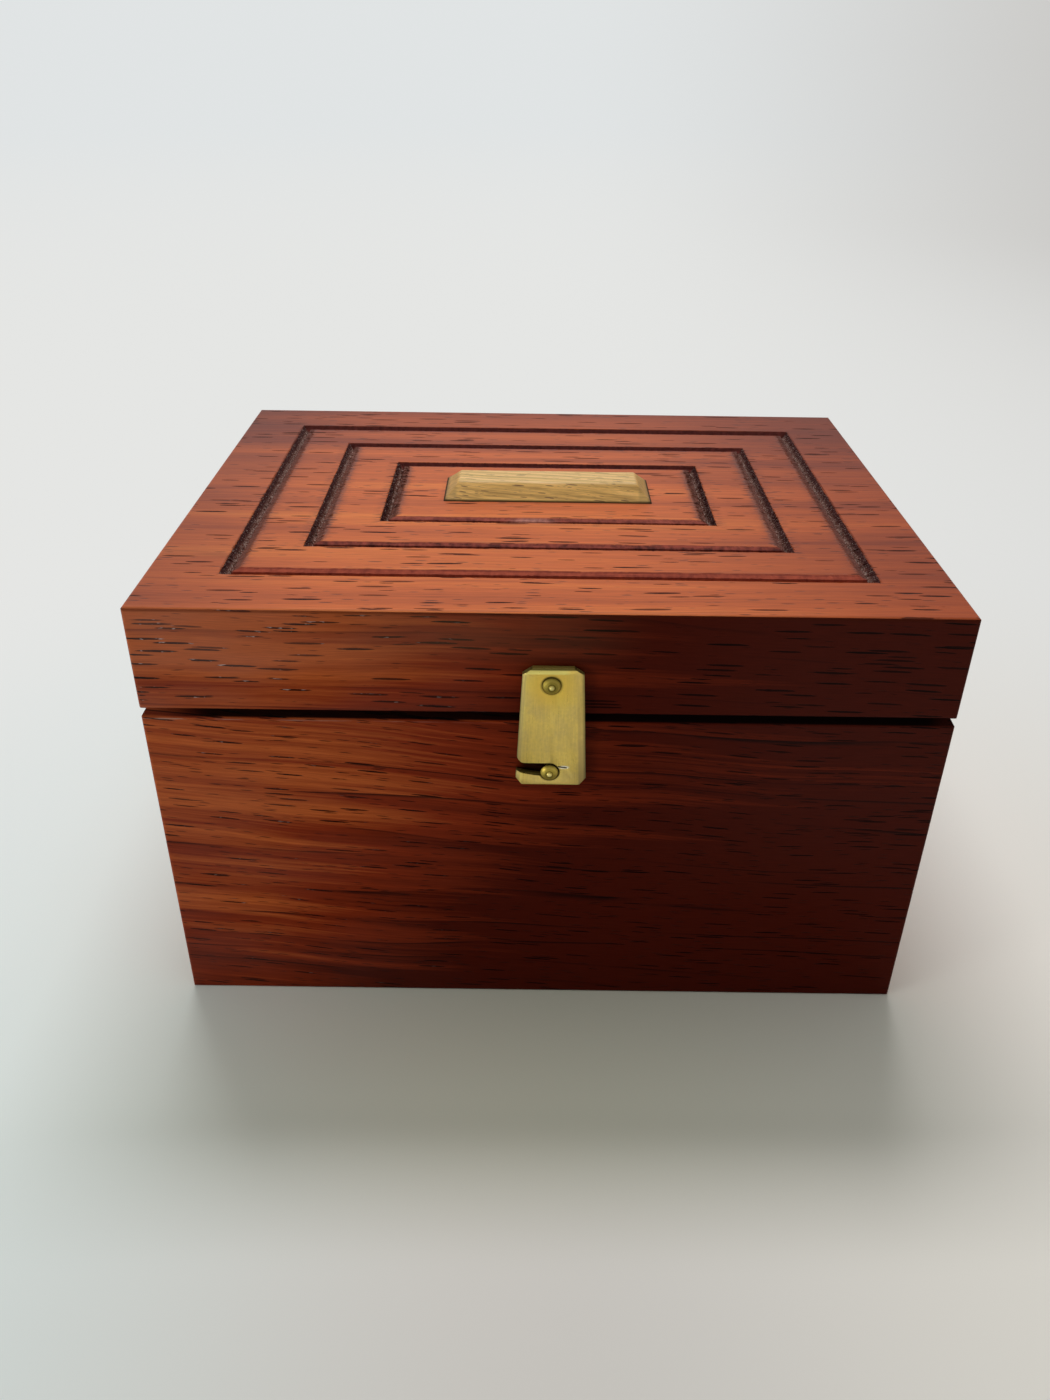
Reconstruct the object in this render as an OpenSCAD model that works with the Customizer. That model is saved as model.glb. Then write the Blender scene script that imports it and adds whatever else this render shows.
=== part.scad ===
// Small keepsake box of red wood: mitred boards, a lid on two butt hinges that is closed by a
// brass swing plate, three V-grooves cut round the top and a bevelled pull of pale wood.
// X runs along the front from left to right, Y from front to back, and Z is up from the table.
// The origin is on the table, under the middle of the boards.

/* [Box] */
// Width of the box along the front
box_w = 160; // [140:1:220]
// Depth of the box, front to back
box_d = 125; // [110:1:180]
// Height from the table to the top of the lid board
box_h = 97; // [90:1:140]
// Height of the lid, with its top board
lid_h = 22.2; // [20:0.2:32]
// Thickness of every board but the bottom
wall_t = 9.5; // [9:0.5:12]
// Gap between the closed lid and the base
rim_gap = 0.2; // [0.1:0.05:0.4]

/* [Edges] */
// Rounding of the outer edges and corners
edge_r = 0.7; // [0.3:0.1:1.5]
// Rounding of the lower edge of the lid
lid_rim_r = 1; // [0.5:0.1:2]
// Width of the bevel round the top of the base
base_rim_run = 1; // [0.5:0.1:2]
// Height of the bevel round the top of the base
base_rim_drop = 1.6; // [0.5:0.1:3]
// Rounding of the edge that stands on the table
foot_r = 0.5; // [0.2:0.1:1.5]

/* [Bottom board] */
// Thickness of the bottom board
bottom_t = 6; // [4:0.5:10]
// How far the bottom board is let into the walls
bottom_inlet = 4.5; // [2:0.5:6]
// Clearance round the edge of the bottom board
bottom_fit = 0.1; // [0.05:0.05:0.3]

/* [Grooves in the top] */
// Number of grooves
groove_count = 3; // [1:1:3]
// From the edge of the lid to the outermost groove
groove_inset = 14.7; // [10:0.1:17]
// From one groove to the next
groove_pitch = 14.2; // [10:0.1:15]
// Width of the outermost groove
outer_groove_w = 3.7; // [2:0.1:5]
// Width of the other grooves
inner_groove_w = 3.2; // [2:0.1:5]
// Width of the flat at the foot of a groove
groove_flat = 0.3; // [0.2:0.1:0.8]
// How far the grooves lie behind the middle of the lid
groove_shift = 0.5; // [-2:0.1:2]

/* [Pull] */
// Length of the pull at its foot
pull_len = 47.8; // [30:0.1:60]
// Width of the pull at its foot
pull_w = 15.8; // [12:0.1:22]
// Height of the pull
pull_h = 3.5; // [2:0.1:8]
// Run of the bevel at each end of the pull
pull_end_run = 3.65; // [1:0.05:5]
// Run of the bevel along each side of the pull
pull_side_run = 4.2; // [1:0.05:5]
// How far the pull lies behind the middle of the lid
pull_shift = 1.4; // [-2:0.1:2]

/* [Latch plate] */
// How far the latch sits to the right of the middle
latch_shift = 0.45; // [-10:0.05:10]
// Height of the pivot pin above the lower edge of the lid
pivot_rise = 7.7; // [6:0.1:9]
// Depth of the catch pin below the top edge of the base
catch_drop = 12.1; // [10:0.1:20]
// Thickness of the plate
plate_t = 1.6; // [1:0.1:2.5]
// Width of the plate at its top
plate_top_w = 11.7; // [10:0.1:14]
// Width of the plate at its foot
plate_foot_w = 14.2; // [12:0.1:18]
// How far the middle of the plate lies to the right of its pins
plate_shift = 0.3; // [-0.5:0.05:0.5]
// Plate above the pivot pin
plate_above = 3.5; // [3:0.1:5]
// Plate below the catch pin
plate_below = 3; // [2.8:0.1:5]
// Width and height of the clipped corners at the top
top_clip = [1.9, 1.35]; // [0.5:0.05:2.5]
// Width and height of the clipped corners at the foot
foot_clip = [1.3, 1.4]; // [0.5:0.05:1.5]
// Width of the filed bevel along the right edge
right_bevel = 1.7; // [0.5:0.1:2.5]
// Width of the filed bevel along the left edge
left_bevel = 1; // [0.5:0.1:2.5]
// Height of the filed bevel along the top edge
top_bevel = 1.2; // [0.5:0.1:1.4]
// Depth of the filed bevels
bevel_depth = 0.45; // [0.2:0.05:0.8]
// Diameter of the round end of the slot
slot_end_d = 4.1; // [3.4:0.1:4.6]
// Rounding where the slot leaves the left edge
slot_corner_r = 1.6; // [0.5:0.1:2]
// Length of the saw nick beside the round end
nick_len = 1.8; // [1.2:0.1:2.2]
// Width of the saw nick
nick_w = 0.3; // [0.2:0.05:0.5]

/* [Pins of the latch] */
// Diameter of the shank
nail_d = 1.8; // [1.4:0.1:2.2]
// Diameter of the domed head
nail_head_d = 3.9; // [3.4:0.1:5]
// Height of the domed head
nail_head_h = 1.15; // [0.8:0.05:1.6]
// How deep the shank sits in the wood
nail_in = 7; // [5:0.5:8]
// Clearance behind the plate, and between the plate and the heads
plate_play = 0.15; // [0.1:0.05:0.25]
// Clearance between a shank and the plate that turns on it or passes it
nail_fit = 0.06; // [0.03:0.01:0.1]

/* [Hinges] */
// Length of a hinge
hinge_len = 25; // [20:1:34]
// From the end of the box to the nearer end of a hinge
hinge_from_end = 22; // [14:1:30]
// Width of a leaf, measured from the middle of the barrel
leaf_w = 6.4; // [6:0.1:6.5]
// Thickness of a leaf
leaf_t = 1; // [0.8:0.1:1.3]
// Diameter of the barrel
barrel_d = 3; // [2.6:0.1:3.6]
// Diameter of the hinge pin
hinge_pin_d = 1.5; // [1:0.1:1.8]
// Number of knuckles
knuckles = 5; // [3:2:7]
// From the back of the box to the middle of the barrel
axis_inset = 2; // [1.9:0.1:2.2]
// Furthest that the lid opens, in degrees
open_angle = 104; // [90:1:110]
// Gap between neighbouring knuckles
knuckle_gap = 0.2; // [0.1:0.05:0.3]
// Clearance of the barrel in the wood
barrel_fit = 0.25; // [0.15:0.05:0.4]
// Clearance round the edge of a leaf in its mortise
leaf_fit = 0.1; // [0.05:0.05:0.2]
// Clearance of the hinge pin in the knuckles that turn on it
pin_fit = 0.05; // [0.03:0.01:0.08]

/* [Screws of the hinges] */
// Screws in each leaf
screw_count = 2; // [2:1:3]
// Diameter of the shank
screw_d = 2; // [1.6:0.1:2.2]
// Diameter of the countersunk head
screw_head_d = 3.8; // [3.2:0.1:4]
// Length of a screw
screw_len = 10; // [6:0.5:11]
// From the end of a leaf to the middle of its first screw
screw_from_end = 5; // [4:0.5:6]
// Width of the slot in the head
screw_slot_w = 0.5; // [0.4:0.1:0.7]
// Clearance of what is driven in and stays put
seat_fit = 0.02; // [0.01:0.01:0.05]

/* [Hidden] */

$fn = 48;
past = 1; // how far a cutter runs past what it cuts
arc_steps = 5; // flats in each rounded edge of a board

base_h = box_h - lid_h - rim_gap;
lid_z = base_h + rim_gap;
half_w = box_w / 2;
half_d = box_d / 2;

// The bevels along the back pass through the hinge axis and meet when the lid is open.
stop_play = 1; // degrees left between the bevels at the limit
stop_angle = (open_angle + stop_play) / 2;
axis_y = half_d - axis_inset;
axis_z = base_h + rim_gap / 2;
stop_run = axis_inset - rim_gap / 2 / tan(stop_angle);
stop_drop = axis_inset * tan(stop_angle) - rim_gap / 2;

pivot_z = lid_z + pivot_rise;
catch_z = base_h - catch_drop;
latch_reach = pivot_z - catch_z;
nail_r = nail_d / 2;
plate_back_y = -half_d - plate_play;
slot_end_r = slot_end_d / 2;
slot_over = slot_end_r + 0.05; // height of the slot's upper edge over the catch pin
slot_under_r = latch_reach + nail_r + nail_fit * 2; // the slot's lower edge is an arc about the pivot

barrel_r = barrel_d / 2;
hinge_pin_r = hinge_pin_d / 2;
hinge_x = half_w - hinge_from_end - hinge_len / 2;
knuckle_len = hinge_len / knuckles;
screw_y = -(leaf_w + barrel_r) / 2;
screw_head_h = (screw_head_d - screw_d) / 2;
screw_tip = screw_d * 0.75;

wood_colour = [0.62, 0.27, 0.16];
pale_wood_colour = [0.75, 0.61, 0.38];
brass_colour = [0.72, 0.61, 0.30];

// Waste outside a rounded corner. The corner is at [0, 0] and the wood fills the quadrant below it.
function round_waste(r) = concat(
    [[past, -r]],
    [for (i = [0:arc_steps]) let(a = 90 * i / arc_steps) [r * cos(a) - r, r * sin(a) - r]],
    [[-r, past], [past, past]]);

// Waste outside a bevelled corner, placed in the same way.
function bevel_waste(run, drop) = [
    [past, -drop - past * drop / run],
    [-run - past * run / drop, past],
    [past, past]];

function turned(points, sx, sy) = [for (p = points) [sx * p[0], sy * p[1]]];

// Outlines drawn in Y and Z and extruded along X, or drawn in X and Z and extruded along Y.
module along_x(len) rotate([90, 0, 90]) linear_extrude(len, center = true) children();
module along_y(len) rotate([90, 0, 0]) linear_extrude(len, center = true) children();

// Cuts the same waste along the four edges of the box at one height. side is 1 at the top of a
// piece and -1 at its foot. The back edge may have a waste of its own.
module rim_cut(z, side, waste, back_waste) {
    translate([0, -half_d, z])
        along_x(box_w + 2 * past)
            polygon(turned(waste, -1, side));
    translate([0, half_d, z])
        along_x(box_w + 2 * past)
            polygon(turned(back_waste, 1, side));
    for (sx = [-1, 1])
        translate([sx * half_w, 0, z])
            along_y(box_d + 2 * past)
                polygon(turned(waste, sx, side));
}

module corner_cut()
    for (sx = [-1, 1], sy = [-1, 1])
        translate([sx * half_w, sy * half_d, -past])
            linear_extrude(box_h + 2 * past)
                polygon(turned(round_waste(edge_r), sx, sy));

function outer_corner(s) = [s[0] * half_w, s[1] * half_d];
function inner_corner(s) = [s[0] * (half_w - wall_t), s[1] * (half_d - wall_t)];

// A board between two corners of the box, mitred at both ends.
module wall_blank(from, to, z, h)
    translate([0, 0, z])
        linear_extrude(h)
            polygon([outer_corner(from), outer_corner(to), inner_corner(to), inner_corner(from)]);

// A block with four sloping sides, between half sizes a at height za and b at height zb.
module sloped_block(a, za, b, zb)
    intersection() {
        along_x(2 * max(a[0], b[0]) + 2 * past)
            polygon([[-a[1], za], [a[1], za], [b[1], zb], [-b[1], zb]]);
        along_y(2 * max(a[1], b[1]) + 2 * past)
            polygon([[-a[0], za], [a[0], za], [b[0], zb], [-b[0], zb]]);
    }

// Base

module base_board(from, to)
    color(wood_colour)
        difference() {
            wall_blank(from, to, 0, base_h);
            corner_cut();
            rim_cut(base_h, 1, bevel_waste(base_rim_run, base_rim_drop),
                bevel_waste(stop_run, stop_drop));
            rim_cut(0, -1, round_waste(foot_r), round_waste(foot_r));
            translate([0, 0, -past])
                linear_extrude(bottom_t + past)
                    square([box_w - 2 * wall_t + 2 * bottom_inlet,
                        box_d - 2 * wall_t + 2 * bottom_inlet], center = true);
        }

module base_front()
    color(wood_colour)
        difference() {
            base_board([-1, -1], [1, -1]);
            nail_hole(catch_z);
        }

module base_back()
    color(wood_colour)
        difference() {
            base_board([1, 1], [-1, 1]);
            for (side = [-1, 1]) at_hinge(side) leaf_pocket();
        }

module base_left() base_board([-1, 1], [-1, -1]);

module base_right() base_board([1, -1], [1, 1]);

module base_bottom()
    color(wood_colour)
        linear_extrude(bottom_t)
            square([box_w - 2 * wall_t + 2 * bottom_inlet - 2 * bottom_fit,
                box_d - 2 * wall_t + 2 * bottom_inlet - 2 * bottom_fit], center = true);

// Lid

// The top board is mitred to the walls of the lid along its lower edges. Past 0 the block grows
// beyond the board along the same slopes, to cut the walls.
module top_blank(grow)
    sloped_block(
        [half_w - wall_t, half_d - wall_t], box_h - wall_t,
        [half_w + grow, half_d + grow], box_h + grow);

module lid_edges_cut() {
    corner_cut();
    rim_cut(box_h, 1, round_waste(edge_r), round_waste(edge_r));
}

// One V-groove round the top, with its outer edge at half size a.
module groove_ring(a, w) {
    run = (w - groove_flat) / 2;
    foot = box_h - run;
    translate([0, groove_shift, 0])
        difference() {
            sloped_block([a[0] - run, a[1] - run], foot,
                [a[0] + past, a[1] + past], box_h + past);
            sloped_block([a[0] - w + run + past, a[1] - w + run + past], foot - past,
                [a[0] - w - past, a[1] - w - past], box_h + past);
        }
}

module lid_top()
    color(wood_colour)
        difference() {
            top_blank(0);
            lid_edges_cut();
            for (i = [0:groove_count - 1])
                groove_ring([half_w - groove_inset - i * groove_pitch,
                    half_d - groove_inset - i * groove_pitch],
                    i == 0 ? outer_groove_w : inner_groove_w);
        }

module lid_board(from, to)
    color(wood_colour)
        difference() {
            wall_blank(from, to, lid_z, box_h - lid_z);
            top_blank(past);
            lid_edges_cut();
            rim_cut(lid_z, -1, round_waste(lid_rim_r), bevel_waste(stop_run, stop_drop));
        }

module lid_front()
    color(wood_colour)
        difference() {
            lid_board([-1, -1], [1, -1]);
            nail_hole(pivot_z);
        }

module lid_back()
    color(wood_colour)
        difference() {
            lid_board([1, 1], [-1, 1]);
            for (side = [-1, 1]) at_hinge(side) rotate([0, 180, 0]) leaf_pocket();
        }

module lid_left() lid_board([-1, 1], [-1, -1]);

module lid_right() lid_board([1, -1], [1, 1]);

module lid_pull()
    color(pale_wood_colour)
        translate([0, pull_shift, 0])
            sloped_block([pull_len / 2, pull_w / 2], box_h,
                [pull_len / 2 - pull_end_run, pull_w / 2 - pull_side_run], box_h + pull_h);

// Latch

// The frame of the latch: X to the right, Y up from the pivot pin, Z out from the front.
module on_front(z) translate([latch_shift, -half_d, z]) rotate([90, 0, 0]) children();

module nail_hole(z)
    on_front(z)
        translate([0, 0, -nail_in - 2 * plate_play])
            cylinder(r = nail_r + seat_fit, h = nail_in + 2 * plate_play + past);

// A domed pin with a small nub in the middle of its head.
module nail(z) {
    head_z = plate_play * 2 + plate_t;
    head_r = nail_head_d / 2;
    rim = nail_head_h * 0.25;
    nub_r = head_r * 0.25;
    color(brass_colour)
        on_front(z)
            rotate_extrude()
                polygon(concat(
                    [[0, -nail_in], [nail_r * 0.4, -nail_in], [nail_r, -nail_in + nail_r * 1.6],
                        [nail_r, head_z], [head_r - rim / 2, head_z], [head_r, head_z + rim / 2]],
                    [for (a = [10:16:74])
                        [head_r * cos(a), head_z + rim + (nail_head_h - 2 * rim) * sin(a)]],
                    [[nub_r, head_z + nail_head_h - rim * 0.8],
                        [nub_r * 0.7, head_z + nail_head_h], [0, head_z + nail_head_h]]));
}

module pivot_nail() nail(pivot_z);

module catch_nail() nail(catch_z);

plate_top = plate_above;
plate_foot = -latch_reach - plate_below;
// Half of the plate's width grows evenly from its top to its foot.
function plate_edge(side, y) = plate_shift + side
    * (plate_top_w + (plate_foot_w - plate_top_w) * (plate_top - y) / (plate_top - plate_foot)) / 2;

module plate_outline()
    polygon([
        [plate_edge(-1, plate_top) + top_clip[0], plate_top],
        [plate_edge(1, plate_top) - top_clip[0], plate_top],
        [plate_edge(1, plate_top - top_clip[1]), plate_top - top_clip[1]],
        [plate_edge(1, plate_foot + foot_clip[1]), plate_foot + foot_clip[1]],
        [plate_edge(1, plate_foot) - foot_clip[0], plate_foot],
        [plate_edge(-1, plate_foot) + foot_clip[0], plate_foot],
        [plate_edge(-1, plate_foot + foot_clip[1]), plate_foot + foot_clip[1]],
        [plate_edge(-1, plate_top - top_clip[1]), plate_top - top_clip[1]]]);

// The slot is open to the left. Its lower edge is an arc about the pivot, so the catch pin
// slides out along it as the foot of the plate swings to the right.
module slot_outline() {
    upper = -latch_reach + slot_over;
    arc_end = asin((plate_foot_w / 2 + past) / slot_under_r);
    polygon(concat(
        [[0, upper], [-plate_foot_w / 2 - past, upper]],
        [for (i = [0:8]) let(a = arc_end * (1 - i / 8)) [-slot_under_r * sin(a), -slot_under_r * cos(a)]]));
    translate([plate_edge(-1, upper), upper])
        polygon(turned(round_waste(slot_corner_r), -1, -1));
    translate([slot_end_r * 0.8, -latch_reach + slot_end_r * 0.57])
        rotate(-8)
            square([nick_len, nick_w]);
}

// A filed bevel on the front of the plate, along an edge that faces the given way.
module edge_bevel(at, facing, run)
    translate([at[0], at[1], plate_t])
        rotate([0, 0, facing])
            rotate([90, 0, 0])
                linear_extrude(2 * latch_reach + 4 * plate_foot_w, center = true)
                    polygon(bevel_waste(run, bevel_depth));

module latch_plate() {
    lean = atan((plate_foot_w - plate_top_w) / 2 / (plate_top - plate_foot));
    color(brass_colour)
        translate([0, -plate_play, 0])
            on_front(pivot_z)
                difference() {
                    linear_extrude(plate_t) plate_outline();
                    translate([0, 0, -past])
                        linear_extrude(plate_t + 2 * past)
                            slot_outline();
                    translate([0, -latch_reach, -past])
                        cylinder(r = slot_end_r, h = plate_t + 2 * past);
                    translate([0, 0, -past])
                        cylinder(r = nail_r + nail_fit, h = plate_t + 2 * past);
                    edge_bevel([plate_edge(1, plate_top), plate_top], lean, right_bevel);
                    edge_bevel([plate_edge(-1, plate_top), plate_top], 180 - lean, left_bevel);
                    edge_bevel([0, plate_top], 90, top_bevel);
                }
}

// Hinges

// The frame of a hinge: its origin is in the middle of the barrel.
module at_hinge(side) translate([side * hinge_x, axis_y, axis_z]) children();

module at_screws()
    for (i = [0:screw_count - 1])
        translate([-hinge_len / 2 + screw_from_end
            + i * (hinge_len - 2 * screw_from_end) / (screw_count - 1), screw_y, -rim_gap / 2])
            children();

// One knuckle, or with grow the space that it needs.
module knuckle(i, r, grow)
    translate([-hinge_len / 2 + i * knuckle_len + knuckle_gap / 2 - grow, 0, 0])
        rotate([0, 90, 0])
            cylinder(r = r, h = knuckle_len - knuckle_gap + 2 * grow);

// A leaf that lies below the axis. own is 0 where it has the first knuckle and 1 otherwise.
module leaf(own, bore_fit) {
    color(brass_colour)
        difference() {
            union() {
                translate([-hinge_len / 2, -leaf_w, -rim_gap / 2 - leaf_t])
                    cube([hinge_len, leaf_w, leaf_t]);
                for (i = [own:2:knuckles - 1]) knuckle(i, barrel_r, 0);
            }
            for (i = [1 - own:2:knuckles - 1]) {
                translate([-hinge_len / 2 + i * knuckle_len - knuckle_gap / 2,
                    -barrel_r - knuckle_gap, -barrel_d])
                    cube([knuckle_len + knuckle_gap, barrel_d + 2 * knuckle_gap, 2 * barrel_d]);
            }
            translate([-hinge_len / 2 - past, 0, 0])
                rotate([0, 90, 0])
                    cylinder(r = hinge_pin_r + bore_fit, h = hinge_len + 2 * past);
            at_screws() {
                translate([0, 0, -screw_head_h])
                    cylinder(r1 = screw_d / 2 + seat_fit,
                        r2 = screw_head_d / 2 + seat_fit, h = screw_head_h);
                translate([0, 0, -leaf_t - past])
                    cylinder(r = screw_d / 2 + seat_fit, h = leaf_t + 2 * past);
            }
        }
}

// What is cut out of a board under a leaf: its mortise, the room for the barrel and the holes.
module leaf_pocket() {
    translate([-hinge_len / 2 - leaf_fit, -leaf_w - leaf_fit, -rim_gap / 2 - leaf_t])
        cube([hinge_len + 2 * leaf_fit, leaf_w + leaf_fit, leaf_t + past]);
    translate([-hinge_len / 2 - leaf_fit, 0, 0])
        rotate([0, 90, 0])
            cylinder(r = barrel_r + barrel_fit, h = hinge_len + 2 * leaf_fit);
    at_screws()
        translate([0, 0, -screw_len - barrel_fit])
            cylinder(r = screw_d / 2 + seat_fit, h = screw_len);
}

// A slotted countersunk screw whose head is at the top, flush with Z = 0.
module screw()
    color(brass_colour)
        difference() {
            union() {
                translate([0, 0, -screw_head_h])
                    cylinder(d1 = screw_d, d2 = screw_head_d, h = screw_head_h);
                translate([0, 0, -screw_len + screw_tip])
                    cylinder(d = screw_d, h = screw_len - screw_tip - screw_head_h);
                translate([0, 0, -screw_len])
                    cylinder(d1 = screw_d * 0.2, d2 = screw_d, h = screw_tip);
            }
            translate([-screw_head_d, -screw_slot_w / 2, -screw_head_h / 2])
                cube([2 * screw_head_d, screw_slot_w, screw_head_h]);
        }

module hinge_pin(side)
    color(brass_colour)
        at_hinge(side)
            translate([-hinge_len / 2, 0, 0])
                rotate([0, 90, 0])
                    cylinder(r = hinge_pin_r, h = hinge_len);

module base_leaf(side) at_hinge(side) leaf(0, seat_fit);

// The same leaf turned over about the axis, with the knuckles between.
module lid_leaf(side) at_hinge(side) rotate([0, 180, 0]) leaf(1, pin_fit);

module base_hinge_screws()
    for (side = [-1, 1]) at_hinge(side) at_screws() screw();

module lid_hinge_screws()
    for (side = [-1, 1]) at_hinge(side) rotate([0, 180, 0]) at_screws() screw();

base_front();
base_back();
base_left();
base_right();
base_bottom();
lid_top();
lid_front();
lid_back();
lid_left();
lid_right();
lid_pull();
latch_plate();
pivot_nail();
catch_nail();
base_leaf(-1);  // left_hinge_base_leaf
lid_leaf(-1);  // left_hinge_lid_leaf
hinge_pin(-1);  // left_hinge_pin
base_leaf(1);  // right_hinge_base_leaf
lid_leaf(1);  // right_hinge_lid_leaf
hinge_pin(1);  // right_hinge_pin
base_hinge_screws();
lid_hinge_screws();
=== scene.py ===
import bmesh
import bpy
from math import radians
from mathutils import Euler, Matrix, Vector


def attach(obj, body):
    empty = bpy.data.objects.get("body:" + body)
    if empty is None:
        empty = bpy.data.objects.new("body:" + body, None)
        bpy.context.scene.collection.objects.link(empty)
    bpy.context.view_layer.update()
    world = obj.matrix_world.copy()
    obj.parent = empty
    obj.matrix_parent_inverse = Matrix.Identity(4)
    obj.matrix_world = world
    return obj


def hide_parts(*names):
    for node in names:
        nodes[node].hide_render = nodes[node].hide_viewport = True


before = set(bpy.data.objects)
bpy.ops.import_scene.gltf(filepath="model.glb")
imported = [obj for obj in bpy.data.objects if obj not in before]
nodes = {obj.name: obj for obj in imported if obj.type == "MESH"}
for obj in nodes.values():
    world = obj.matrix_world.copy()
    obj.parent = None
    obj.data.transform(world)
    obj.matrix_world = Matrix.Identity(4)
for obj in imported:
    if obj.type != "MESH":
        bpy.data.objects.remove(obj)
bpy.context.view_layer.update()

mm = 0.001


# Camera and studio

camera = {  # metres and degrees, the lens in mm
    "place": (-0.00477, -0.24613, 0.18950),
    "lookDown": 31.218,
    "lookRight": 0.051,
    "roll": 0.789,
    "lens": 28.48,
}
studio = {
    "lamps": {
        "key": {"place": (-0.05, 0.43, 1.02), "size": (0.6, 0.24), "power": 6.4,
                "colour": (1.0, 0.97, 0.945)},
        "ceiling": {"place": (0.0, -0.12, 1.3), "size": (1.1, 0.9), "power": 4.4,
                    "colour": (0.99, 1.0, 0.92)},
        "window": {"place": (-0.50, -0.33, 0.11), "size": (0.16, 0.12), "power": 0.8,
                   "colour": (1.0, 0.97, 0.90)},
    },
    "ambient": (0.055, 0.060, 0.050, 1),
    "backdrop": (0.785, 0.79, 0.775, 1),
    "backdropShadedRight": (0.575, 0.563, 0.542, 1),
    "farBackdrop": (0.75, 0.775, 0.78, 1),
    "mirrorFrontLow": (0.85, 0.82, 0.74, 1),
    "mirrorFrontHigh": (0.06, 0.055, 0.05, 1),
    "paper": (0.775, 0.762, 0.755, 1),
    "paperShadowTint": (0.80, 0.805, 0.72, 1),
    "paperLeft": (0.815, 0.925, 0.955, 1),
    "paperRight": (0.945, 0.925, 0.895, 1),
    "floorSize": 60.0,
    "fadeCentre": (0.04, -0.25, 0),
    "fadeFrom": 0.18,
    "fadeTo": 0.50,
}


def deselectAll():
    if bpy.context.mode != "OBJECT":
        bpy.ops.object.mode_set(mode="OBJECT")
    bpy.ops.object.select_all(action="DESELECT")


def addCamera():
    bpy.ops.object.camera_add(location=camera["place"])
    cam = bpy.context.object
    tilt = Euler((radians(90 - camera["lookDown"]), 0, -radians(camera["lookRight"])))
    turned = tilt.to_matrix() @ Matrix.Rotation(radians(camera["roll"]), 3, "Z")
    cam.rotation_euler = turned.to_euler()
    cam.data.lens = camera["lens"]
    cam.data.clip_start = 0.01
    bpy.context.scene.camera = cam


def addLamp(name, place, size, power, colour):
    bpy.ops.object.light_add(type="AREA", location=place)
    lamp = bpy.context.object
    lamp.name = name + "Lamp"
    lamp.data.shape = "RECTANGLE"
    lamp.data.size, lamp.data.size_y = size
    lamp.data.energy = power
    lamp.data.color = colour
    aim = Vector((0, 0, 0.06)) - Vector(place)
    lamp.rotation_euler = aim.to_track_quat("-Z", "Y").to_euler()
    lamp.visible_camera = False


# Node helpers

def addNode(tree, kind, sockets=None, **settings):
    node = tree.nodes.new(kind)
    for name, value in settings.items():
        setattr(node, name, value)
    for name, value in (sockets or {}).items():
        if isinstance(value, bpy.types.NodeSocket):
            tree.links.new(value, node.inputs[name])
        else:
            node.inputs[name].default_value = value
    return node


def calc(tree, operation, a, b=0.5, clamp=False):
    sockets = {0: a, 1: b}
    return addNode(tree, "ShaderNodeMath", sockets, operation=operation, use_clamp=clamp).outputs[0]


def plus(tree, a, b, clamp=False):
    return calc(tree, "ADD", a, b, clamp)


def minus(tree, a, b, clamp=False):
    return calc(tree, "SUBTRACT", a, b, clamp)


def times(tree, a, b, clamp=False):
    return calc(tree, "MULTIPLY", a, b, clamp)


def offFrom(tree, value, centre):
    return calc(tree, "ABSOLUTE", minus(tree, value, centre))


def wrapped(tree, value, period):
    return addNode(tree, "ShaderNodeMath", {0: value, 1: period / 2, 2: -period / 2},
                   operation="WRAP").outputs[0]


def vecCalc(tree, operation, a, b):
    return addNode(tree, "ShaderNodeVectorMath", {0: a, 1: b}, operation=operation).outputs[0]


def stretch(tree, vector, factors):
    return vecCalc(tree, "MULTIPLY", vector, factors)


def scaled(tree, vector, factor):
    return addNode(tree, "ShaderNodeVectorMath", {0: vector, "Scale": factor},
                   operation="SCALE").outputs[0]


def distance(tree, a, b):
    return addNode(tree, "ShaderNodeVectorMath", {0: a, 1: b}, operation="DISTANCE").outputs["Value"]


def joined(tree, x, y, z):
    return addNode(tree, "ShaderNodeCombineXYZ", {0: x, 1: y, 2: z}).outputs[0]


def split(tree, vector):
    return addNode(tree, "ShaderNodeSeparateXYZ", {0: vector}).outputs


def objectPlace(tree):
    return addNode(tree, "ShaderNodeTexCoord").outputs["Object"]


def asMm(tree, vector):
    return stretch(tree, vector, (1000, 1000, 1000))


def blendColour(tree, factor, a, b, kind="MIX"):
    node = addNode(tree, "ShaderNodeMix", {0: factor, 6: a, 7: b}, data_type="RGBA", blend_type=kind)
    return node.outputs[2]


def blendValue(tree, factor, a, b):
    return addNode(tree, "ShaderNodeMix", {0: factor, 2: a, 3: b}, data_type="FLOAT").outputs[0]


def ranged(tree, value, low, high, toLow=0.0, toHigh=1.0, kind="LINEAR"):
    sockets = {"Value": value, "From Min": low, "From Max": high, "To Min": toLow, "To Max": toHigh}
    return addNode(tree, "ShaderNodeMapRange", sockets, interpolation_type=kind).outputs[0]


def faded(tree, value, low, high, toLow=0.0, toHigh=1.0):
    return ranged(tree, value, low, high, toLow, toHigh, "SMOOTHSTEP")


def roundMask(tree, place, centre, inside, outside, amount):
    return faded(tree, distance(tree, place, centre), inside, outside, amount, 0.0)


def noise(tree, vector, scale, detail=2.0, roughness=0.5):
    return addNode(tree, "ShaderNodeTexNoise",
                   {"Vector": vector, "Scale": scale, "Detail": detail, "Roughness": roughness})


def newMaterial(name):
    material = bpy.data.materials.new(name)
    material.use_nodes = True
    tree = material.node_tree
    shader = tree.nodes["Principled BSDF"]
    return material, tree, shader


def newGroup(name, inputs, outputs):
    group = bpy.data.node_groups.new(name, "ShaderNodeTree")
    for label, (kind, value) in inputs.items():
        socket = group.interface.new_socket(label, in_out="INPUT", socket_type=kind)
        if value is not None:
            socket.default_value = value
    for label, kind in outputs.items():
        group.interface.new_socket(label, in_out="OUTPUT", socket_type=kind)
    start = group.nodes.new("NodeGroupInput")
    end = group.nodes.new("NodeGroupOutput")
    return group, start.outputs, end.inputs


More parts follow.
